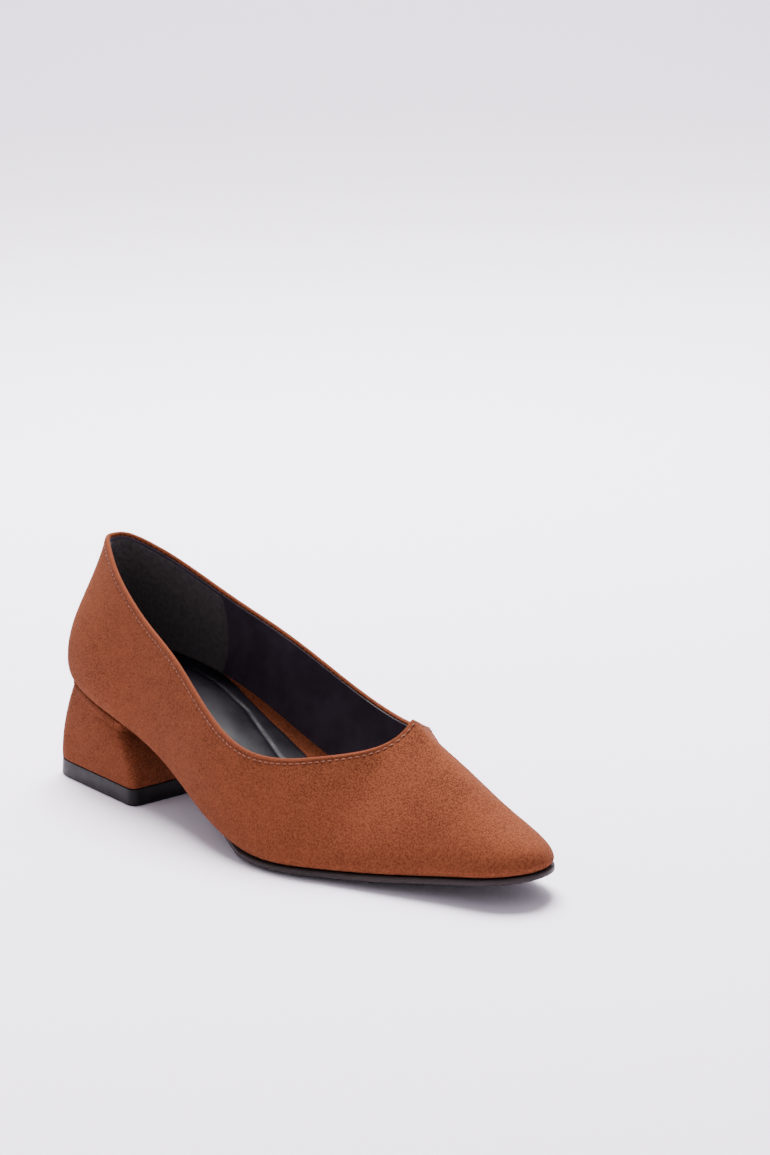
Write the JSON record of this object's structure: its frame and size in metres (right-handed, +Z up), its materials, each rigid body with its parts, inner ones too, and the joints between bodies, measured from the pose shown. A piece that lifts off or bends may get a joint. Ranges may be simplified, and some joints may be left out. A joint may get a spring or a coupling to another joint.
{
  "type": "block heel pump",
  "caption": "Pointed low-cut court shoe in suede on a low flared block heel, open at the collar and hollow inside, with a padded sock and a thin sole.",
  "frame": {"origin": "middle of the shoe's footprint, on the plane that the top lift and the forefoot stand on", "axes": "+X from heel to toe, +Y to the inner (medial) side of the right foot, +Z up"},
  "size_m": [0.2514, 0.0772, 0.0933],
  "materials": {
    "suede": "matt rust-brown suede with a short nap",
    "insole_suede": "matt rust-brown suede",
    "sock_lining": "smooth black lining with a soft sheen",
    "outsole_rubber": "matt black",
    "heel_suede": "matt rust-brown suede, stretched over the heel block",
    "top_lift_rubber": "black with a faint sheen"
  },
  "bodies": {
    "root": {"upper": "suede", "insole": "insole_suede", "sock": "sock_lining", "outsole": "outsole_rubber", "heel": "heel_suede", "top_lift": "top_lift_rubber"}
  },
  "joints": []
}
